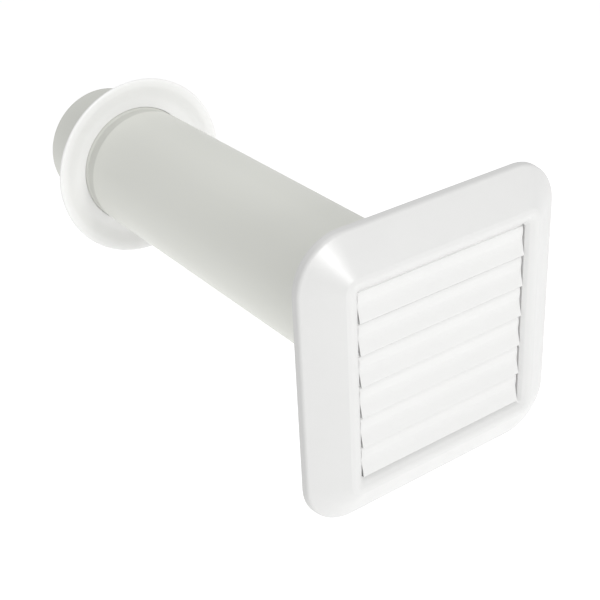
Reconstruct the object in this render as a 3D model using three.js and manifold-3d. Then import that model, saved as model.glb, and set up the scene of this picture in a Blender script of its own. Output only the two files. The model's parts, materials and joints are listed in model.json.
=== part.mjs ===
// Through-the-wall vent kit: square gravity-flap cowl, rigid round duct and dished wall flange.
// Millimetres. +Z up, +Y into the wall along the duct axis, X to the right when facing the flaps.
// The origin is on the duct axis, in the plane of the outside wall face. Depths are counted
// from that plane towards the front, so a depth d lies at y = -d.
import * as THREE from 'three';
import { mergeVertices } from 'three/addons/utils/BufferGeometryUtils.js';
import Module from 'manifold-3d';

const wasm = await Module();
wasm.setup();

// ---- driving dimensions -------------------------------------------------------------------
const GAP = 0.3; // clearance between pieces that touch

const COWL_HALF = 102.2; // half the cowl's outside width and height
const COWL_CORNER = 34; // outside corner radius
const COWL_DEPTH = 19.6; // wall plane to the crest of the bead
const COWL_WALL = 2.5; // moulded wall thickness
const OPENING_HALF = 66.9; // half the square opening
const OPENING_CORNER = 2; // its corner radius
const LIP_DEPTH = 15.5; // the lip over the pivot rails starts here

const PIPE_OUTER = 50; // duct outside radius
const PIPE_INNER = 48;
const PIPE_END = 434; // far end of the duct
const NECK_DEPTH = 1.5; // shallow groove rolled round the duct, just in front of the flange
const NECK_LENGTH = 12;
const SPIGOT_OUTER = 47.2;
const SPIGOT_INNER = 45.6;
const SPIGOT_END = 34;
const PLATE_THICKNESS = 3;
const SEAL_AT = 24; // middle of the spigot seal
const SEAL_WIDTH = 4;

const FLAP_COUNT = 6;
const FLAP_PITCH = 22.3;
const FLAP_HALF_LENGTH = 66.2;
const FLAP_THICKNESS = 1.4;
const FLAP_GAP = 0.4; // between a flap's lower edge and the next flap's top
const PIVOT_DEPTH = 12.7;
const TOP_ROUND = 1.5; // radius of the rounded top, centred on the pivot
const DRAUGHT_LIP = 3.4; // lip that stands up behind the flap above, height over the pivot
const LIP_FRONT = 0.5; // its front and rear faces, forward of the pivot
const LIP_REAR = -0.4;
const PIN_RADIUS = 1.2;
const BEARING_RADIUS = 1.6;

const RAIL_THICKNESS = 2;
const RAIL_HALF = 68.5; // half the rail's length, a little more than the opening
const STOP_REACH = 3.2; // how far a closing stop stands out behind a flap's end

const FLANGE_RADIUS = 75.8;
const FLANGE_FACE = 365.5; // plane of the rim that meets the inside wall
const FLANGE_DISH = 6; // how much deeper the middle of the dish is than its rim
const FLANGE_WALL = 2.4;
const COLLAR_INNER = 50.3;
const COLLAR_OUTER = 53.6;
const COLLAR_LENGTH = 12;

const SCREW_AT = 78; // screws stand at the four corners of this square's half-width
const SCREW_SHANK = 1.4;
const SCREW_HEAD = 3.2;
const BOSS_RADIUS = 4;

const GASKET_OUTER_HALF = 96;
const GASKET_WIDTH = 8;
const GASKET_THICKNESS = 0.9;

const ROUND_SEGMENTS = 72;
const CORNER_SEGMENTS = 8;

// ---- materials ----------------------------------------------------------------------------
const plastic = (color, roughness) => new THREE.MeshStandardMaterial({ color, roughness, metalness: 0 });
const whiteGloss = () => plastic(0xf1f1ef, 0.3);
const whiteSatin = () => plastic(0xf4f4f2, 0.42);
const greyDuct = () => plastic(0xcfd0c8, 0.5);
const blackRubber = () => plastic(0x26272a, 0.85);
const greyFoam = () => plastic(0x6a6c6e, 0.95);
const zincSteel = () => new THREE.MeshStandardMaterial({ color: 0xb9bcc0, roughness: 0.35, metalness: 1 });

// ---- geometry helpers ---------------------------------------------------------------------
function toSolid(geometry) {
  const bare = geometry.clone();
  bare.deleteAttribute('normal');
  bare.deleteAttribute('uv');
  const merged = mergeVertices(bare, 1e-4);
  const vertProperties = new Float32Array(merged.attributes.position.array);
  const triVerts = new Uint32Array(merged.index.array);
  return new wasm.Manifold(new wasm.Mesh({ numProp: 3, vertProperties, triVerts }));
}

function toGeometry(solid) {
  const mesh = solid.getMesh();
  const geometry = new THREE.BufferGeometry();
  geometry.setAttribute('position', new THREE.BufferAttribute(new Float32Array(mesh.vertProperties), 3));
  geometry.setIndex(new THREE.BufferAttribute(new Uint32Array(mesh.triVerts), 1));
  geometry.computeVertexNormals();
  return geometry;
}

const joined = (solids) => solids.reduce((sum, next) => sum.add(next));

// One loop of points round a square with rounded corners, seen from the front.
function squareLoop(half, corner) {
  const centre = half - corner;
  const points = [];
  for (let quarter = 0; quarter < 4; quarter += 1) {
    const start = quarter * Math.PI / 2;
    const middle = start + Math.PI / 4;
    const cx = Math.sign(Math.cos(middle)) * centre;
    const cz = Math.sign(Math.sin(middle)) * centre;
    for (let step = 0; step <= CORNER_SEGMENTS; step += 1) {
      const angle = start + step / CORNER_SEGMENTS * Math.PI / 2;
      points.push(new THREE.Vector2(cx + corner * Math.cos(angle), cz + corner * Math.sin(angle)));
    }
  }
  return points;
}

// A closed section of [half width, corner radius, depth] rows, carried round the square.
function squareRing(section) {
  const loops = section.map(([half, corner]) => squareLoop(half, corner));
  const around = loops[0].length;
  const positions = loops.flatMap((loop, row) => loop.flatMap((p) => [p.x, -section[row][2], p.y]));
  const index = [];
  for (let row = 0; row < loops.length; row += 1) {
    const next = (row + 1) % loops.length;
    for (let i = 0; i < around; i += 1) {
      const j = (i + 1) % around;
      const [a, b, c, d] = [row * around + i, row * around + j, next * around + j, next * around + i];
      index.push(a, b, c, a, c, d);
    }
  }
  const geometry = new THREE.BufferGeometry();
  geometry.setAttribute('position', new THREE.Float32BufferAttribute(positions, 3));
  geometry.setIndex(index);
  return geometry;
}

// A plate with rounded corners between two depths.
function squarePlate(half, corner, nearDepth, farDepth) {
  const shape = new THREE.Shape(squareLoop(half, corner));
  const geometry = new THREE.ExtrudeGeometry(shape, { depth: farDepth - nearDepth, bevelEnabled: false });
  geometry.rotateX(Math.PI / 2);
  geometry.translate(0, -nearDepth, 0);
  return geometry;
}

// A solid of revolution about the duct axis from a closed profile of [radius, y] rows.
function turned(profile) {
  const points = profile.map(([radius, y]) => new THREE.Vector2(radius, y));
  points.push(points[0].clone());
  return new THREE.LatheGeometry(points, ROUND_SEGMENTS);
}

function tube(inner, outer, yStart, yEnd) {
  return turned([[inner, yStart], [outer, yStart], [outer, yEnd], [inner, yEnd]]);
}

// A solid cylinder along Y between two values of y.
function rod(radius, yStart, yEnd, x, z, segments) {
  const geometry = new THREE.CylinderGeometry(radius, radius, yEnd - yStart, segments);
  geometry.translate(x, (yStart + yEnd) / 2, z);
  return geometry;
}

// Extrudes a shape drawn in (y, z) along X, from x = from to x = to.
function alongX(shape, from, to) {
  const geometry = new THREE.ExtrudeGeometry(shape, { depth: to - from, bevelEnabled: false });
  const basis = new THREE.Matrix4().makeBasis(
    new THREE.Vector3(0, 1, 0), new THREE.Vector3(0, 0, 1), new THREE.Vector3(1, 0, 0));
  geometry.applyMatrix4(basis);
  geometry.translate(from, 0, 0);
  return geometry;
}

function box(x0, x1, y0, y1, z0, z1) {
  const geometry = new THREE.BoxGeometry(x1 - x0, y1 - y0, z1 - z0);
  geometry.translate((x0 + x1) / 2, (y0 + y1) / 2, (z0 + z1) / 2);
  return geometry;
}

const corners = [[1, 1], [-1, 1], [-1, -1], [1, -1]].map(([i, j]) => [i * SCREW_AT, j * SCREW_AT]);

// ---- cowl: bevelled bezel with a rounded bead, open at the back ---------------------------
// Inset from the outside edge and depth, from the outside wall over the bead to the lip.
const FACE = [
  [0, 0], [0.6, 4.2], [1.3, 5.5], [2.8, 6.5], [14, 12.9], [23, 17.9], [25.2, 19.1], [26.8, COWL_DEPTH],
  [28.6, 19.4], [30.6, 18.8], [32.6, 17.9], [34.2, 16.9], [35.3, LIP_DEPTH],
];
// The same shell from the inside, from the foot of the inner wall back to the outside rim.
const LINING = [
  [35.3, 3.3], [33.3, 3.3], [33.3, 14.6], [31.4, 16.1], [29, 16.9], [26.8, 17.0], [24.2, 15.6], [4.4, 4.5],
  [COWL_WALL, 3], [COWL_WALL, 0],
];
const insetRow = ([inset, depth]) => {
  const corner = Math.max(COWL_CORNER - inset, OPENING_CORNER);
  return [COWL_HALF - inset, corner, depth];
};

function cowlFrame() {
  const shell = toSolid(squareRing([...FACE, ...LINING].map(insetRow)));
  const envelope = toSolid(squareRing([...FACE.map(insetRow), [1, 0.5, LIP_DEPTH], [1, 0.5, 0]]));
  const bosses = corners.map(([x, z]) => toSolid(rod(BOSS_RADIUS, -COWL_DEPTH, -3.3, x, z, 20)));
  const pilots = corners.map(([x, z]) => toSolid(rod(SCREW_SHANK + GAP, -10.5, 0, x, z, 16)));
  const railSlots = [-1, 1].map((side) => {
    const ends = [side * (OPENING_HALF - OPENING_CORNER), side * (OPENING_HALF + RAIL_THICKNESS + GAP)];
    const tall = RAIL_HALF + GAP;
    return toSolid(box(Math.min(...ends), Math.max(...ends), -LIP_DEPTH, 0, -tall, tall));
  });
  const body = shell.add(joined(bosses).intersect(envelope));
  return toGeometry(body.subtract(joined([...pilots, ...railSlots])));
}

// ---- back plate with the spigot that the duct is pushed onto ------------------------------
function backPlate() {
  const half = COWL_HALF - COWL_WALL - GAP;
  const corner = COWL_CORNER - COWL_WALL - GAP;
  const plate = toSolid(squarePlate(half, corner, 0, PLATE_THICKNESS));
  const spigot = toSolid(tube(SPIGOT_INNER, SPIGOT_OUTER, -PLATE_THICKNESS, SPIGOT_END));
  const bore = toSolid(rod(SPIGOT_INNER, -10, 10, 0, 0, ROUND_SEGMENTS));
  const groove = toSolid(tube(SPIGOT_OUTER - 1, PIPE_OUTER, SEAL_AT - SEAL_WIDTH / 2, SEAL_AT + SEAL_WIDTH / 2));
  const gasketSeat = toSolid(gasketRing(GAP));
  const drills = corners.map(([x, z]) => toSolid(rod(SCREW_SHANK + GAP, -PLATE_THICKNESS - 1, 1, x, z, 16)));
  const counterbores = corners.map(([x, z]) => toSolid(rod(SCREW_HEAD + GAP, -1.9, 1, x, z, 20)));
  return toGeometry(plate.subtract(bore).add(spigot)
    .subtract(joined([groove, gasketSeat, ...drills, ...counterbores])));
}

// Foam ring at the rear of the back plate; spare widens it into the seat that holds it.
function gasketRing(spare) {
  const inner = GASKET_OUTER_HALF - GASKET_WIDTH - spare;
  const outer = GASKET_OUTER_HALF + spare;
  const rear = spare > 0 ? -1 : 0;
  const front = GASKET_THICKNESS + spare;
  const cornerOf = (half) => half - (COWL_HALF - COWL_CORNER);
  return squareRing([
    [outer, cornerOf(outer), rear], [outer, cornerOf(outer), front],
    [inner, cornerOf(inner), front], [inner, cornerOf(inner), rear],
  ]);
}

// ---- screw: pan head at the rear of the plate, shank in the cowl's boss -------------------
function plateScrew() {
  const shank = toSolid(rod(SCREW_SHANK, -10, -1.2, 0, 0, 12));
  const head = toSolid(rod(SCREW_HEAD, -1.6, -0.2, 0, 0, 18));
  const slot = [[0.45, 2], [2, 0.45]].map(([a, b]) => toSolid(box(-a, a, -1, 0, -b, b)));
  return toGeometry(head.add(shank).subtract(joined(slot)));
}

// ---- flaps --------------------------------------------------------------------------------
// Lower edges count up from the sill, and the top flap reaches the lip.
const sill = FLAP_GAP - OPENING_HALF;
const lowerEdge = (number) => sill + FLAP_PITCH * (FLAP_COUNT - number);
const upperEdge = (number) => (number === 1 ? OPENING_HALF : lowerEdge(number - 1)) - FLAP_GAP;
const pivotHeight = (number) => upperEdge(number) - TOP_ROUND;

// Wavy section about the pivot: front edge of [forward, down] points, the back one wall behind.
// Its top is round about the pivot, and carries a lip behind the flap above, if there is one.
function flapShape(drop, withLip) {
  const front = [
    [TOP_ROUND, 0], [1.9, 0.05 * drop], [2.2, 0.12 * drop], [2.1, 0.26 * drop], [1.85, 0.42 * drop],
    [2.3, 0.6 * drop], [3.2, 0.8 * drop], [3.9, 0.95 * drop], [4, drop],
  ];
  const back = front.slice(2).reverse().map(([forward, down]) => [forward - FLAP_THICKNESS, down]);
  const top = [];
  for (let step = 0; step < 8; step += 1) {
    const angle = step / 8 * Math.PI;
    top.push([-TOP_ROUND * Math.cos(angle), -TOP_ROUND * Math.sin(angle)]);
  }
  const lip = [[LIP_REAR, -TOP_ROUND], [LIP_REAR, -DRAUGHT_LIP], [LIP_FRONT, -DRAUGHT_LIP]];
  const aboveRound = withLip ? [...top.slice(0, 4), ...lip, ...top.slice(5)] : top;
  const outline = [...front, ...back, ...aboveRound];
  return new THREE.Shape(outline.map(([forward, down]) => new THREE.Vector2(-forward, -down)));
}

function flap(number) {
  const drop = pivotHeight(number) - lowerEdge(number);
  const blade = toSolid(alongX(flapShape(drop, number > 1), -FLAP_HALF_LENGTH, FLAP_HALF_LENGTH));
  const reach = OPENING_HALF + RAIL_THICKNESS - GAP;
  const pin = new THREE.CylinderGeometry(PIN_RADIUS, PIN_RADIUS, 2 * reach, 16);
  pin.rotateZ(Math.PI / 2);
  return toGeometry(blade.add(toSolid(pin)));
}

// ---- pivot rails: bearing holes for the flap pins and a closing stop behind each flap -----
function pivotRail(side) {
  const front = -(LIP_DEPTH - GAP);
  const rear = -(PLATE_THICKNESS + GAP);
  const shape = new THREE.Shape(
    [[rear, -RAIL_HALF], [rear, RAIL_HALF], [front, RAIL_HALF], [front, -RAIL_HALF]]
      .map(([y, z]) => new THREE.Vector2(y, z)));
  for (let number = 1; number <= FLAP_COUNT; number += 1) {
    const bearing = new THREE.Path();
    bearing.absarc(-PIVOT_DEPTH, pivotHeight(number), BEARING_RADIUS, 0, 2 * Math.PI, true);
    shape.holes.push(bearing);
  }
  const inner = side * OPENING_HALF;
  const outer = side * (OPENING_HALF + RAIL_THICKNESS);
  const strip = toSolid(alongX(shape, Math.min(inner, outer), Math.max(inner, outer)));
  const stops = [];
  for (let number = 1; number <= FLAP_COUNT; number += 1) {
    const tip = side * (OPENING_HALF - STOP_REACH);
    const root = inner + side * RAIL_THICKNESS / 2;
    const low = lowerEdge(number) + 3;
    stops.push(toSolid(box(Math.min(tip, root), Math.max(tip, root), -12.1, -10.5, low, low + 9)));
  }
  return toGeometry(strip.add(joined(stops)));
}

// ---- duct: plain tube with a shallow rolled groove beside the flange ----------------------
function duct() {
  const end = FLANGE_FACE + FLANGE_DISH;
  const start = end - NECK_LENGTH;
  const groove = [[0, start], [NECK_DEPTH, start + 1.8], [NECK_DEPTH, end - 1.8], [0, end]];
  const wall = (radius) => [[0, GAP], ...groove, [0, PIPE_END]].map(([inset, y]) => [radius - inset, y]);
  return turned([...wall(PIPE_OUTER), ...wall(PIPE_INNER).reverse()]);
}

// ---- wall flange: dish open towards the wall, with a collar that slides on the duct -------
function wallFlange() {
  const middle = FLANGE_FACE + FLANGE_DISH;
  const collarEnd = middle + FLANGE_WALL + COLLAR_LENGTH;
  const sealFront = collarEnd - 5;
  return turned([
    [COLLAR_INNER, middle], [56, middle], [62, middle - 1.4], [68, middle - 4.2], [71, FLANGE_FACE],
    [FLANGE_RADIUS - 0.6, FLANGE_FACE], [FLANGE_RADIUS, FLANGE_FACE + 0.6],
    [FLANGE_RADIUS, FLANGE_FACE + 2], [FLANGE_RADIUS - 0.8, FLANGE_FACE + 2.6],
    [71.6, FLANGE_FACE + 3.2], [67, middle - 1.2], [61, middle + 1.6], [57, middle + FLANGE_WALL],
    [COLLAR_OUTER + 1, middle + FLANGE_WALL + 0.4], [COLLAR_OUTER, middle + FLANGE_WALL + 1.6],
    [COLLAR_OUTER, collarEnd], [COLLAR_INNER, collarEnd], [COLLAR_INNER, sealFront + 3.6],
    [COLLAR_INNER + 1.6, sealFront + 3.6], [COLLAR_INNER + 1.6, sealFront], [COLLAR_INNER, sealFront],
  ]);
}

function flangeSeal() {
  const start = FLANGE_FACE + FLANGE_DISH + FLANGE_WALL + COLLAR_LENGTH - 5 + GAP;
  return tube(PIPE_OUTER + GAP, COLLAR_INNER + 1.6 - GAP, start, start + 3);
}

function spigotSeal() {
  const half = SEAL_WIDTH / 2 - GAP;
  return tube(SPIGOT_OUTER - 1 + GAP, PIPE_INNER - GAP, SEAL_AT - half, SEAL_AT + half);
}

// ---- assembly -----------------------------------------------------------------------------
const group = new THREE.Group();
const add = (name, geometry, material) => {
  const mesh = new THREE.Mesh(geometry, material);
  mesh.name = name;
  group.add(mesh);
  return mesh;
};

add('cowl_frame', cowlFrame(), whiteGloss());
add('back_plate', backPlate(), whiteSatin());
add('pivot_rail_left', pivotRail(-1), whiteSatin());
add('pivot_rail_right', pivotRail(1), whiteSatin());
for (let number = 1; number <= FLAP_COUNT; number += 1) {
  const mesh = add(`flap_${number}`, flap(number), whiteGloss());
  mesh.position.set(0, -PIVOT_DEPTH, pivotHeight(number));
}
add('wall_pipe', duct(), greyDuct());
add('wall_flange', wallFlange(), whiteGloss());
add('flange_seal', flangeSeal(), blackRubber());
add('spigot_seal', spigotSeal(), blackRubber());
add('weather_gasket', gasketRing(0), greyFoam());
corners.forEach(([x, z], place) => {
  const mesh = add(`plate_screw_${place + 1}`, plateScrew(), zincSteel());
  mesh.position.set(x, 0, z);
});

export default group;
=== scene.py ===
import json
import math

import bmesh
import bpy
from mathutils import Matrix, Vector


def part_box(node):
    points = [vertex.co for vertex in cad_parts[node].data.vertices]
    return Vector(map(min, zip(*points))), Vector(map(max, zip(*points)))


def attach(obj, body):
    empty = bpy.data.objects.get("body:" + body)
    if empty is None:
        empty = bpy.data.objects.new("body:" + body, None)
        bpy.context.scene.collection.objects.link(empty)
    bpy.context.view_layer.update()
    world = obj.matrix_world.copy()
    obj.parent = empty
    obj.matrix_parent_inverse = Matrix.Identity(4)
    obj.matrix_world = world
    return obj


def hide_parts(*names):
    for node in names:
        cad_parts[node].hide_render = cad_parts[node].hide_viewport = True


# Visual model of the through-the-wall vent kit, in metres and in the frame of the CAD: +Z up, +Y into
# the wall along the duct. A depth is counted towards the front, so a depth d lies at y = -d.
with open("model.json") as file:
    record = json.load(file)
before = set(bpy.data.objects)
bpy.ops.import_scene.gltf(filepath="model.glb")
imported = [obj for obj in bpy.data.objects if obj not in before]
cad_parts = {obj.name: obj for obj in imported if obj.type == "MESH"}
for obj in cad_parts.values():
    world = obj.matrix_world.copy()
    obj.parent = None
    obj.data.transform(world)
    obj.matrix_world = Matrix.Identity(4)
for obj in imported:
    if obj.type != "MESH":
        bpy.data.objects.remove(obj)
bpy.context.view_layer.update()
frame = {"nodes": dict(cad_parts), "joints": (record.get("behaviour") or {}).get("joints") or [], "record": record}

MM = 0.001


# ---- sizes taken from the frame -----------------------------------------------------------
pipe_low, pipe_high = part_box("wall_pipe")
flange_low, flange_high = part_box("wall_flange")
plate_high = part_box("back_plate")[1]
rail_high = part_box("pivot_rail_right")[1]
gasket_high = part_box("weather_gasket")[1]
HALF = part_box("cowl_frame")[1].x
PIPE_RADIUS = pipe_high.x
FLANGE_RADIUS = flange_high.x
FLANGE_FACE = flange_low.y
COLLAR_END = flange_high.y
RAIL_THICKNESS = 2 * MM
OPENING_HALF = rail_high.x - RAIL_THICKNESS
FLAP_NAMES = sorted(name for name in frame["nodes"] if name.startswith("flap_"))
SCREW_NAMES = sorted(name for name in frame["nodes"] if name.startswith("plate_screw_"))

# ---- sizes of the finer shape -------------------------------------------------------------
SPARE = 0.3 * MM  # clearance between pieces that touch
CORNER = 34 * MM  # the cowl's outside corner radius
OPENING_CORNER = 2 * MM
WALL = 2.5 * MM
LIP_DEPTH = 15.5 * MM  # the lip over the pivot rails starts here
FACE_SLOPE = 0.56  # rise of the cowl's bevel
BOSS_RADIUS = 4 * MM
BOSS_FOOT = 3.3 * MM
PILOT_DEPTH = 10.5 * MM

FLAP_HALF_LENGTH = 66.2 * MM
FLAP_THICKNESS = 1.4 * MM
FLAP_TOP = 1.35 * MM  # radius of the rounded top
FLAP_EDGE = 0.22 * MM
PIN_RADIUS = 1.2 * MM
DRAUGHT_LIP = 3.4 * MM  # height of the lip behind the flap above
LIP_REAR = -0.4 * MM
LIP_FRONT = 0.5 * MM

PIPE_WALL = 2 * MM
NECK_DEPTH = 1.5 * MM  # groove rolled round the duct, in front of the flange
NECK_LENGTH = 12 * MM
FLANGE_DISH = 6 * MM
RIM_RADIUS = 1.3 * MM
COLLAR_OUTER = 53.6 * MM

PLATE_THICKNESS = 3 * MM
SPIGOT_OUTER = 47.2 * MM
SPIGOT_INNER = 45.6 * MM
SEAL_GROOVE = 1 * MM
GASKET_WIDTH = 8 * MM
GASKET_THICKNESS = 0.9 * MM
SCREW_SHANK = 1.4 * MM
THREAD_ROOT = 1.12 * MM
THREAD_PITCH = 0.9 * MM
DRILL_RADIUS = 1.7 * MM
COUNTERBORE_RADIUS = 3.5 * MM

CORNER_STEPS = 20
ROUND_STEPS = 128


# ---- outlines -----------------------------------------------------------------------------
def arc(centre, radius, start, end, steps):
    """Points on an arc, with angles in degrees."""
    points = []
    for i in range(steps + 1):
        angle = math.radians(start + (end - start) * i / steps)
        points.append((centre[0] + radius * math.cos(angle), centre[1] + radius * math.sin(angle)))
    return points


def filleted(corners, arc_step=math.radians(15)):
    """A closed outline from (a, b, radius) corners, each rounded to its radius."""
    outline = []
    count = len(corners)
    for i, (a, b, radius) in enumerate(corners):
        here = Vector((a, b))
        before = Vector(corners[i - 1][:2]) - here
        after = Vector(corners[(i + 1) % count][:2]) - here
        inside = before.angle(after)
        if radius <= 0 or inside > math.pi - 0.02:
            outline.append(here)
            continue
        reach = min(radius / math.tan(inside / 2), 0.49 * before.length, 0.49 * after.length)
        radius = reach * math.tan(inside / 2)
        first = here + before.normalized() * reach
        last = here + after.normalized() * reach
        halfway = (before.normalized() + after.normalized()).normalized()
        middle = here + halfway * radius / math.sin(inside / 2)
        turn = math.pi - inside
        steps = max(2, math.ceil(turn / arc_step))
        start, stop = first - middle, last - middle
        for k in range(steps + 1):
            t = k / steps
            along = (start * math.sin((1 - t) * turn) + stop * math.sin(t * turn)) / math.sin(turn)
            outline.append(middle + along)
    return outline


def smooth_curve(points, steps):
    """A Catmull-Rom curve through the points, with steps to each span."""
    ends = [points[0]] + list(points) + [points[-1]]
    curve = []
    for i in range(1, len(ends) - 2):
        p0, p1, p2, p3 = (Vector(p) for p in ends[i - 1:i + 3])
        for k in range(steps):
            t = k / steps
            curve.append(0.5 * ((2 * p1) + (p2 - p0) * t + (2 * p0 - 5 * p1 + 4 * p2 - p3) * t * t
                                + (3 * p1 - p0 - 3 * p2 + p3) * t ** 3))
    curve.append(Vector(points[-1]))
    return curve


def square_loop(half, corner, depth):
    """A square with rounded corners, standing in the plane at that depth."""
    centre = half - corner
    points = []
    for quarter in range(4):
        start = 90 * quarter
        sign_x = 1 if quarter in (0, 3) else -1
        sign_z = 1 if quarter in (0, 1) else -1
        for x, z in arc((sign_x * centre, sign_z * centre), corner, start, start + 90, CORNER_STEPS):
            points.append(Vector((x, -depth, z)))
    return points


# ---- meshes -------------------------------------------------------------------------------
def new_object(name, verts, faces):
    mesh = bpy.data.meshes.new(name)
    mesh.from_pydata([tuple(v) for v in verts], [], faces)
    obj = bpy.data.objects.new(name, mesh)
    bpy.context.scene.collection.objects.link(obj)
    tidy_mesh(obj)
    return obj


def tidy_mesh(obj, sharp=32):
    bm = bmesh.new()
    bm.from_mesh(obj.data)
    bmesh.ops.remove_doubles(bm, verts=bm.verts, dist=1e-6)
    bmesh.ops.recalc_face_normals(bm, faces=bm.faces)
    for face in bm.faces:
        face.smooth = True
    bm.to_mesh(obj.data)
    bm.free()
    obj.data.set_sharp_from_angle(angle=math.radians(sharp))


def loft(name, loops, closed=False):
    """Skins a list of equal loops. An open skin is capped, a closed one meets itself."""
    around = len(loops[0])
    verts = [p for loop in loops for p in loop]
    faces = []
    rows = len(loops)
    for row in range(rows if closed else rows - 1):
        first, second = row * around, (row + 1) % rows * around
        for i in range(around):
            j = (i + 1) % around
            faces.append((first + i, first + j, second + j, second + i))
    if not closed:
        faces.append(tuple(range(around)))
        faces.append(tuple(range((rows - 1) * around, rows * around)))
    return new_object(name, verts, faces)


def square_ring(name, outline, corner_at):
    """Carries a closed (inset, depth) outline round the square. Insets are from the outside edge."""
    loops = [square_loop(HALF - inset, corner_at(inset), depth) for inset, depth in outline]
    return loft(name, loops, closed=True)


def turned(name, outline, steps=ROUND_STEPS, axis="Y", centre=(0, 0, 0)):
    """Revolves a closed (radius, along) outline about a line parallel to Y or X."""
    loops = []
    for radius, along in outline:
        loop = []
        for i in range(steps):
            angle = 2 * math.pi * i / steps
            side, up = radius * math.cos(angle), radius * math.sin(angle)
            offset = Vector((side, along, up)) if axis == "Y" else Vector((along, side, up))
            loop.append(Vector(centre) + offset)
        loops.append(loop)
    return loft(name, loops, closed=True)


def rod(name, radius, start, end, x, z, steps):
    """A solid cylinder along Y between two values of y."""
    angles = [2 * math.pi * i / steps for i in range(steps)]
    return loft(name, [[Vector((x + radius * math.cos(a), y, z + radius * math.sin(a))) for a in angles]
                       for y in (start, end)])


def block(name, low, high):
    verts = [(x, y, z) for x in (low[0], high[0]) for y in (low[1], high[1]) for z in (low[2], high[2])]
    faces = [(0, 1, 3, 2), (4, 6, 7, 5), (0, 4, 5, 1), (2, 3, 7, 6), (0, 2, 6, 4), (1, 5, 7, 3)]
    return new_object(name, verts, faces)


def soften(obj, width, angle):
    """Rounds the edges sharper than the angle, in degrees."""
    modifier = obj.modifiers.new("bevel", "BEVEL")
    modifier.width = width
    modifier.segments = 2
    modifier.limit_method = "ANGLE"
    modifier.angle_limit = math.radians(angle)
    graph = bpy.context.evaluated_depsgraph_get()
    result = bpy.data.meshes.new_from_object(obj.evaluated_get(graph))
    obj.modifiers.clear()
    obj.data = result
    tidy_mesh(obj)


def boolean(target, tools, operation):
    """Joins or cuts the tools with the target, and removes them."""
    for tool in tools:
        modifier = target.modifiers.new(operation, "BOOLEAN")
        modifier.operation = operation
        modifier.solver = "EXACT"
        modifier.object = tool
    graph = bpy.context.evaluated_depsgraph_get()
    result = bpy.data.meshes.new_from_object(target.evaluated_get(graph))
    target.modifiers.clear()
    target.data = result
    for tool in tools:
        bpy.data.objects.remove(tool)
    tidy_mesh(target)


def middle_of(name):
    """The x and z of a node's middle."""
    low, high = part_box(name)
    return (low.x + high.x) / 2, (low.z + high.z) / 2


def place(obj, body, nodes, material):
    obj.data.materials.clear()
    obj.data.materials.append(material)
    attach(obj, body)
    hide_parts(*nodes)


# ---- materials ----------------------------------------------------------------------------
def slot_colour(slot, share=0.9):
    """The record's colour for a slot, darkened to the share of the light that it gives back."""
    for entry in frame["record"]["materials"]:
        if entry["slot"] == slot:
            return [c * share for c in entry["base_color"][:3]]
    raise ValueError(f"the record has no slot {slot}")


def plastic(name, colour, roughness, spread=0.04, tint=0.02, peel=0.03, peel_scale=900, stretch=(1, 1, 1)):
    """A moulded plastic: faint blotches in its colour, uneven gloss and a fine skin texture."""
    material = bpy.data.materials.new(name)
    material.use_nodes = True
    tree = material.node_tree
    nodes, links = tree.nodes, tree.links
    shader = nodes["Principled BSDF"]
    coordinates = nodes.new("ShaderNodeTexCoord")
    mapping = nodes.new("ShaderNodeMapping")
    mapping.inputs["Scale"].default_value = stretch
    links.new(coordinates.outputs["Object"], mapping.inputs["Vector"])

    def noise(scale, detail):
        node = nodes.new("ShaderNodeTexNoise")
        node.inputs["Scale"].default_value = scale
        node.inputs["Detail"].default_value = detail
        links.new(mapping.outputs["Vector"], node.inputs["Vector"])
        return node.outputs["Fac"]

    def ramp(value, low, high):
        node = nodes.new("ShaderNodeValToRGB")
        node.color_ramp.elements[0].position = 0.3
        node.color_ramp.elements[0].color = (*low, 1)
        node.color_ramp.elements[1].position = 0.7
        node.color_ramp.elements[1].color = (*high, 1)
        links.new(value, node.inputs["Fac"])
        return node.outputs["Color"]

    darker = [c * (1 - tint) for c in colour]
    lighter = [min(1, c * (1 + tint / 2)) for c in colour]
    links.new(ramp(noise(22, 3), darker, lighter), shader.inputs["Base Color"])
    gloss = nodes.new("ShaderNodeMapRange")
    gloss.inputs["From Min"].default_value = 0.3
    gloss.inputs["From Max"].default_value = 0.7
    gloss.inputs["To Min"].default_value = roughness - spread
    gloss.inputs["To Max"].default_value = roughness + spread
    links.new(noise(60, 4), gloss.inputs["Value"])
    links.new(gloss.outputs["Result"], shader.inputs["Roughness"])
    bump = nodes.new("ShaderNodeBump")
    bump.inputs["Strength"].default_value = peel
    bump.inputs["Distance"].default_value = 0.0004
    links.new(noise(peel_scale, 2), bump.inputs["Height"])
    links.new(bump.outputs["Normal"], shader.inputs["Normal"])
    return material


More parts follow.
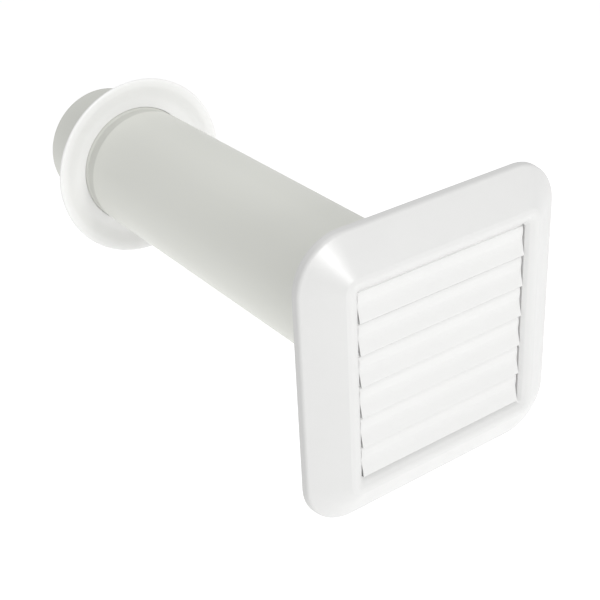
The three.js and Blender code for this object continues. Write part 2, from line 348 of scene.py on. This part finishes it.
def paint_groove_shade(material):
    """Paints shade into the duct's colour along its rolled groove, darkest just behind the groove's front edge,
    and fades it back to the plain colour towards the duct's far end.
    """
    tree = material.node_tree
    nodes, links = tree.nodes, tree.links
    shader = nodes["Principled BSDF"]
    plain = shader.inputs["Base Color"].links[0].from_socket
    coordinates = nodes.new("ShaderNodeTexCoord")
    apart = nodes.new("ShaderNodeSeparateXYZ")
    links.new(coordinates.outputs["Object"], apart.inputs["Vector"])
    along = nodes.new("ShaderNodeMapRange")
    along.inputs["From Min"].default_value = pipe_low.y
    along.inputs["From Max"].default_value = pipe_high.y
    links.new(apart.outputs["Y"], along.inputs["Value"])
    shade = nodes.new("ShaderNodeValToRGB")
    end = FLANGE_FACE + FLANGE_DISH
    start = end - NECK_LENGTH
    # Painted shade: stops along the duct and the share of its colour kept, darkest in the crease just behind the
    # groove's front edge.
    stops = [(start - 1.2 * MM, 1.0), (start + 0.6 * MM, 0.8), (start + 3 * MM, 0.87), (end - 3 * MM, 0.87),
             (end, 0.93), (pipe_high.y - 2 * MM, 0.97), (pipe_high.y, 1.0)]
    while len(shade.color_ramp.elements) < len(stops):
        shade.color_ramp.elements.new(0.5)
    for element, (y, level) in zip(shade.color_ramp.elements, stops):
        element.position = (y - pipe_low.y) / (pipe_high.y - pipe_low.y)
        element.color = (level, level, level, 1)
    links.new(along.outputs["Result"], shade.inputs["Fac"])
    # Multiplies the painted shade into the duct's colour.
    groove_shade_mix = nodes.new("ShaderNodeMix")
    groove_shade_mix.data_type = "RGBA"
    groove_shade_mix.blend_type = "MULTIPLY"
    groove_shade_mix.inputs["Factor"].default_value = 1.0
    links.new(plain, groove_shade_mix.inputs["A"])
    links.new(shade.outputs["Color"], groove_shade_mix.inputs["B"])
    links.new(groove_shade_mix.outputs["Result"], shader.inputs["Base Color"])


white_gloss = plastic("white_gloss", slot_colour("cowl_white", 0.655), 0.34, tint=0.012)
flap_gloss = plastic("flap_gloss", slot_colour("flap_white", 0.685), 0.38, tint=0.012, stretch=(0.35, 1, 1))
plate_matt = plastic("plate_matt", slot_colour("plate_white", 0.8), 0.55)
duct_satin = plastic("duct_satin", slot_colour("duct_grey", 0.89), 0.48, stretch=(1, 0.08, 1))
flange_gloss = plastic("flange_gloss", slot_colour("flange_white", 0.895), 0.36, tint=0.012)
# Painted shade along the duct's rolled groove.
paint_groove_shade(duct_satin)
seal_black = plastic("seal_black", slot_colour("seal_rubber"), 0.75, peel=0.2, tint=0.1)
gasket_grey = plastic("gasket_grey", slot_colour("gasket_foam"), 0.9, peel=0.8, peel_scale=1400, tint=0.2)
screw_zinc = plastic("screw_zinc", slot_colour("screw_steel"), 0.35)
screw_zinc.node_tree.nodes["Principled BSDF"].inputs["Metallic"].default_value = 1.0


# ---- cowl ---------------------------------------------------------------------------------
def ring_corner(inset):
    return max(CORNER - inset, OPENING_CORNER)


def cowl():
    edge = HALF - OPENING_HALF
    # Inset from the outside edge, depth and corner radius, over the front and back along the inside.
    outline = filleted([(inset * MM, depth * MM, radius * MM) for inset, depth, radius in (
        (0, 0, 0.3), (0.6, 5.2, 3), (24.8, 18.85, 2.5), (28.8, 19.75, 6), (33.0, 17.9, 4),
        (edge / MM, 15.5, 0.8), (edge / MM, 3.3, 0.3), (edge / MM - 2, 3.3, 0.3),
        (edge / MM - 2, 14.5, 2), (29.5, 16.9, 4), (25.2, 16.3, 4), (WALL / MM + 0.2, 3.7, 1),
        (WALL / MM, 0, 0.3),
    )], math.radians(8))
    frame_piece = square_ring("cowl_bezel", outline, ring_corner)
    slots = []
    for side in (-1, 1):
        ends = sorted((side * (OPENING_HALF - OPENING_CORNER), side * (rail_high.x + SPARE)))
        tall = rail_high.z + SPARE
        slots.append(block("slot", (ends[0], -LIP_DEPTH, -tall), (ends[1], 1 * MM, tall)))
    bosses, pilots = [], []
    for name in SCREW_NAMES:
        x, z = middle_of(name)
        boss = rod("boss", BOSS_RADIUS, -PILOT_DEPTH - 1 * MM, -BOSS_FOOT, x, z, 40)
        for vertex in boss.data.vertices:
            if vertex.co.y < -PILOT_DEPTH:
                # The end slopes with the bevel, and stays inside the cowl's wall.
                aside = math.hypot(abs(vertex.co.x) - (HALF - CORNER), abs(vertex.co.z) - (HALF - CORNER))
                vertex.co.y = -(5 * MM + FACE_SLOPE * (CORNER - aside - WALL))
        bosses.append(boss)
        pilots.append(rod("pilot", DRILL_RADIUS, -PILOT_DEPTH, 0, x, z, 24))
    boolean(frame_piece, bosses, "UNION")
    boolean(frame_piece, slots + pilots, "DIFFERENCE")
    place(frame_piece, "housing", ["cowl_frame"], white_gloss)


# ---- flaps --------------------------------------------------------------------------------
def flap_outline(drop, with_lip):
    """(forward, down) outline of a flap about its pivot, in metres."""
    # Millimetres forward, and share of the drop.
    wave = [(1.7, 0), (1.95, 0.05), (2.15, 0.12), (2.1, 0.26), (1.85, 0.42), (2.3, 0.6), (3.2, 0.8),
            (3.9, 0.95), (4.0, 1.0)]
    front = smooth_curve([(forward * MM, share * drop) for forward, share in wave], 6)
    back = []
    for i in range(len(front) - 1, 11, -1):
        before, after = front[max(i - 1, 0)], front[min(i + 1, len(front) - 1)]
        along = (after - before).normalized()
        back.append(front[i] + Vector((-along.y, along.x)) * FLAP_THICKNESS)
    angles = [math.radians(degrees) for degrees in range(0, 180, 12)]
    head = [(-FLAP_TOP * math.cos(angle), -FLAP_TOP * math.sin(angle)) for angle in angles]
    if with_lip:
        shoulder = 0.3 * MM - DRAUGHT_LIP
        lip = [(LIP_REAR, -FLAP_TOP), (LIP_REAR, shoulder), (LIP_REAR + 0.25 * MM, -DRAUGHT_LIP),
               (LIP_FRONT - 0.25 * MM, -DRAUGHT_LIP), (LIP_FRONT, shoulder), (LIP_FRONT, -FLAP_TOP)]
        behind = [p for p in head if p[0] < LIP_REAR - 0.05 * MM]
        ahead = [p for p in head if p[0] > LIP_FRONT + 0.05 * MM]
        head = behind + lip + ahead
    bottom = front[-1]
    chamfer = [bottom - Vector((0, 0.25 * MM)), bottom + Vector((-0.25 * MM, 0.0))]
    return [Vector(p) for p in front[:-1]] + chamfer + back[1:] + [Vector(p) for p in head]


def flap(name):
    low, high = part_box(name)
    joint = next(j for j in frame["joints"] if j["child"] == name)
    pivot = Vector(joint["pos_m"])
    drop = pivot.z - low.z
    outline = flap_outline(drop, high.z - pivot.z > 2 * MM)
    loops = []
    for x in (-FLAP_HALF_LENGTH, FLAP_HALF_LENGTH):
        loops.append([Vector((x, pivot.y - p.x, pivot.z - p.y)) for p in outline])
    blade = loft(name + "_blade", loops)
    soften(blade, FLAP_EDGE, 50)
    pins = []
    for side in (-1, 1):
        ends = sorted((side * (FLAP_HALF_LENGTH - 1 * MM), side * high.x))
        pins.append(turned("pin", [(0.02 * MM, ends[0]), (PIN_RADIUS, ends[0]), (PIN_RADIUS, ends[1]),
                                   (0.02 * MM, ends[1])], 24, "X", (0, pivot.y, pivot.z)))
    boolean(blade, pins, "UNION")
    place(blade, name, [name], flap_gloss)


# ---- duct, flange and back plate ----------------------------------------------------------
def duct():
    inner = PIPE_RADIUS - PIPE_WALL
    dish = FLANGE_FACE + FLANGE_DISH
    groove = [(0, dish - NECK_LENGTH, 1.6 * MM), (NECK_DEPTH, dish - NECK_LENGTH + 1.2 * MM, 0.6 * MM),
              (NECK_DEPTH, dish - 1.8 * MM, 1.5 * MM), (0, dish, 1.5 * MM)]
    wall = [(0, pipe_low.y, 0.4 * MM)] + groove + [(0, pipe_high.y, 0.5 * MM)]
    outline = filleted([(PIPE_RADIUS - inset, y, r) for inset, y, r in wall]
                       + [(inner - inset, y, r) for inset, y, r in reversed(wall)])
    place(turned("duct_tube", outline), "housing", ["wall_pipe"], duct_satin)


def flange():
    dish = FLANGE_FACE + FLANGE_DISH
    hole = PIPE_RADIUS + SPARE
    front = smooth_curve([(hole, dish), (54 * MM, dish - 0.1 * MM), (59 * MM, dish - 0.7 * MM),
                          (64 * MM, dish - 2.6 * MM), (68.5 * MM, dish - 4.8 * MM),
                          (72.5 * MM, FLANGE_FACE + 0.1 * MM), (74.4 * MM, FLANGE_FACE)], 5)
    rim = arc((FLANGE_RADIUS - RIM_RADIUS, FLANGE_FACE + RIM_RADIUS), RIM_RADIUS, -90, 90, 10)
    back = smooth_curve([(72.8 * MM, FLANGE_FACE + 2.9 * MM), (69.6 * MM, FLANGE_FACE + 4.1 * MM),
                         (65.4 * MM, dish + 0.0 * MM), (60 * MM, dish + 1.9 * MM),
                         (56.5 * MM, dish + 2.4 * MM), (54.6 * MM, dish + 2.9 * MM),
                         (COLLAR_OUTER, dish + 4.2 * MM)], 5)
    collar = [(COLLAR_OUTER, COLLAR_END - 0.5 * MM), (COLLAR_OUTER - 0.5 * MM, COLLAR_END),
              (hole + 0.4 * MM, COLLAR_END), (hole, COLLAR_END - 0.4 * MM)]
    outline = [tuple(p) for p in front] + rim + [tuple(p) for p in back] + collar
    place(turned("flange_dish", outline), "flange", ["wall_flange"], flange_gloss)


def back_plate():
    half = plate_high.x
    rows = [(half - 0.4 * MM, 0), (half, 0.4 * MM), (half, 2.7 * MM), (half - 0.3 * MM, 3 * MM)]
    plate = loft("rear_plate", [square_loop(h, h - (HALF - CORNER), depth) for h, depth in rows])
    bore = rod("bore", SPIGOT_INNER, -10 * MM, 10 * MM, 0, 0, ROUND_STEPS)
    groove = gasket_ring("groove", SPARE, -1 * MM)
    tools = [bore, groove]
    for name in SCREW_NAMES:
        x, z = middle_of(name)
        tools.append(rod("counterbore", COUNTERBORE_RADIUS, -1.9 * MM, 1 * MM, x, z, 40))
        tools.append(rod("drill", DRILL_RADIUS, -4 * MM, 1 * MM, x, z, 24))
    boolean(plate, tools, "DIFFERENCE")
    seal_low, seal_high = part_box("spigot_seal")
    floor, front, rear = SPIGOT_OUTER - SEAL_GROOVE, seal_low.y - SPARE, seal_high.y + SPARE
    spigot = turned("spigot", filleted([
        (SPIGOT_INNER, -PLATE_THICKNESS, 0.8 * MM), (SPIGOT_OUTER, -PLATE_THICKNESS, 0),
        (SPIGOT_OUTER, front, 0.1 * MM), (floor, front, 0.1 * MM),
        (floor, rear, 0.1 * MM), (SPIGOT_OUTER, rear, 0.1 * MM),
        (SPIGOT_OUTER, plate_high.y, 0.7 * MM), (SPIGOT_INNER, plate_high.y, 0.3 * MM),
    ]))
    boolean(plate, [spigot], "UNION")
    place(plate, "housing", ["back_plate"], plate_matt)


def gasket_ring(name, spare, rear):
    """Foam strip round the back of the plate. The spare widens it into its own seat."""
    outer = HALF - gasket_high.x - spare
    inner = outer + GASKET_WIDTH + 2 * spare
    front = GASKET_THICKNESS + spare
    radius = 0 if spare else 0.35 * MM
    outline = filleted([(outer, rear, radius), (outer, front, radius), (inner, front, radius),
                        (inner, rear, radius)], math.radians(30))
    return square_ring(name, outline, lambda inset: CORNER - inset)


def screw(name):
    """A pan head with a cross recess, and a threaded shank with a point."""
    low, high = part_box(name)
    x, z = middle_of(name)
    head = (high.x - low.x) / 2
    outline = [(0.02 * MM, low.y), (0.5 * MM, low.y), (1.1 * MM, low.y + 0.8 * MM)]
    y = low.y + 1.0 * MM
    while y < -2.6 * MM:
        outline += [(SCREW_SHANK, y), (THREAD_ROOT, y + THREAD_PITCH / 2)]
        y += THREAD_PITCH
    outline += [(SCREW_SHANK, -2.0 * MM), (SCREW_SHANK, -1.6 * MM), (head - 0.2 * MM, -1.6 * MM),
                (head, -1.4 * MM)]
    outline += arc((head - 0.9 * MM, high.y - 0.9 * MM), 0.9 * MM, 0, 90, 6) + [(0.02 * MM, high.y)]
    body = turned(name + "_pan_head", outline, 40, "Y", (x, 0, z))
    recess = []
    for wide, tall in ((1.9, 0.42), (0.42, 1.9)):
        slot = block("recess", (x - wide * MM, high.y - 0.75 * MM, z - tall * MM),
                     (x + wide * MM, high.y + 1 * MM, z + tall * MM))
        recess.append(slot)
    boolean(body, recess, "DIFFERENCE")
    place(body, "housing", [name], screw_zinc)


def seal(name, body, inner_radius):
    low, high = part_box(name)
    outline = filleted([(inner_radius, low.y, 0.4 * MM), (high.x, low.y, 0.5 * MM),
                        (high.x, high.y, 0.5 * MM), (inner_radius, high.y, 0.4 * MM)], math.radians(30))
    place(turned(name + "_ring", outline), body, [name], seal_black)


cowl()
for flap_name in FLAP_NAMES:
    flap(flap_name)
duct()
flange()
back_plate()
place(gasket_ring("foam_strip", 0, 0), "housing", ["weather_gasket"], gasket_grey)
for screw_name in SCREW_NAMES:
    screw(screw_name)
seal("spigot_seal", "housing", SPIGOT_OUTER - 0.7 * MM)
seal("flange_seal", "flange", PIPE_RADIUS + SPARE)
for node_name in ("pivot_rail_left", "pivot_rail_right"):
    node = frame["nodes"][node_name]
    node.data.materials.clear()
    node.data.materials.append(plate_matt)


# ---- stage, light and camera --------------------------------------------------------------
VIEW_AZIMUTH = math.radians(-34.39)
VIEW_ELEVATION = math.radians(29.73)
VIEW_ROLL = math.radians(-3.03)
VIEW_DISTANCE = 0.86565
VIEW_LENS = 74.9
VIEW_TARGET = Vector((0, 0.1, 0))
VIEW_SLIDE = (-0.0223, -0.01215)
FLOOR_HEIGHT = -0.45
FLOOR_REACH = 40
FLOOR_GLOW = 0.44
SKY_GLOW = 0.58


def camera():
    back = Vector((math.sin(VIEW_AZIMUTH) * math.cos(VIEW_ELEVATION),
                   -math.cos(VIEW_AZIMUTH) * math.cos(VIEW_ELEVATION), math.sin(VIEW_ELEVATION)))
    right = (-back).cross(Vector((0, 0, 1))).normalized()
    up = right.cross(-back)
    turned_right = right * math.cos(VIEW_ROLL) + up * math.sin(VIEW_ROLL)
    turned_up = -right * math.sin(VIEW_ROLL) + up * math.cos(VIEW_ROLL)
    place_at = (VIEW_TARGET + turned_right * VIEW_SLIDE[0] + turned_up * VIEW_SLIDE[1]
                + back * VIEW_DISTANCE)
    data = bpy.data.cameras.new("camera")
    data.lens = VIEW_LENS
    data.sensor_width = 36
    obj = bpy.data.objects.new("camera", data)
    rotation = Matrix((turned_right, turned_up, back)).transposed().to_4x4()
    obj.matrix_world = Matrix.Translation(place_at) @ rotation
    bpy.context.scene.collection.objects.link(obj)
    bpy.context.scene.camera = obj


def softbox(name, at, aim, size, power):
    data = bpy.data.lights.new(name, "AREA")
    data.shape = "RECTANGLE"
    data.size = data.size_y = size
    data.energy = power
    obj = bpy.data.objects.new(name, data)
    obj.location = at
    obj.rotation_euler = (Vector(aim) - Vector(at)).to_track_quat("-Z", "Y").to_euler()
    bpy.context.scene.collection.objects.link(obj)


def stage():
    reach = FLOOR_REACH
    outline = [(-reach, -reach), (reach, -reach), (reach, reach), (-reach, reach)]
    floor = new_object("floor", [(x, y, FLOOR_HEIGHT) for x, y in outline], [(0, 1, 2, 3)])
    material = bpy.data.materials.new("floor_white")
    material.use_nodes = True
    shader = material.node_tree.nodes["Principled BSDF"]
    shader.inputs["Base Color"].default_value = (0.9, 0.9, 0.9, 1)
    shader.inputs["Roughness"].default_value = 0.9
    shader.inputs["Emission Color"].default_value = (1, 1, 1, 1)
    shader.inputs["Emission Strength"].default_value = FLOOR_GLOW
    floor.data.materials.append(material)
    world = bpy.data.worlds.new("studio")
    world.use_nodes = True
    world.node_tree.nodes["Background"].inputs["Color"].default_value = (1, 1, 1, 1)
    world.node_tree.nodes["Background"].inputs["Strength"].default_value = SKY_GLOW
    bpy.context.scene.world = world
    bpy.context.scene.view_settings.view_transform = "Standard"


camera()
stage()
softbox("key_softbox", (0, -1.6, 0.85), (0, 0.1, 0), 1.1, 10.0)
softbox("side_softbox", (1.1, -1.5, 0.3), (0, 0.1, 0), 1, 0.8)
softbox("top_softbox", (0, 0.3, 1.6), (0, 0.1, 0), 1, 5.6)
softbox("highlight", (0.05, -1.8, 0.75), (0, 0, 0), 0.32, 8.6)
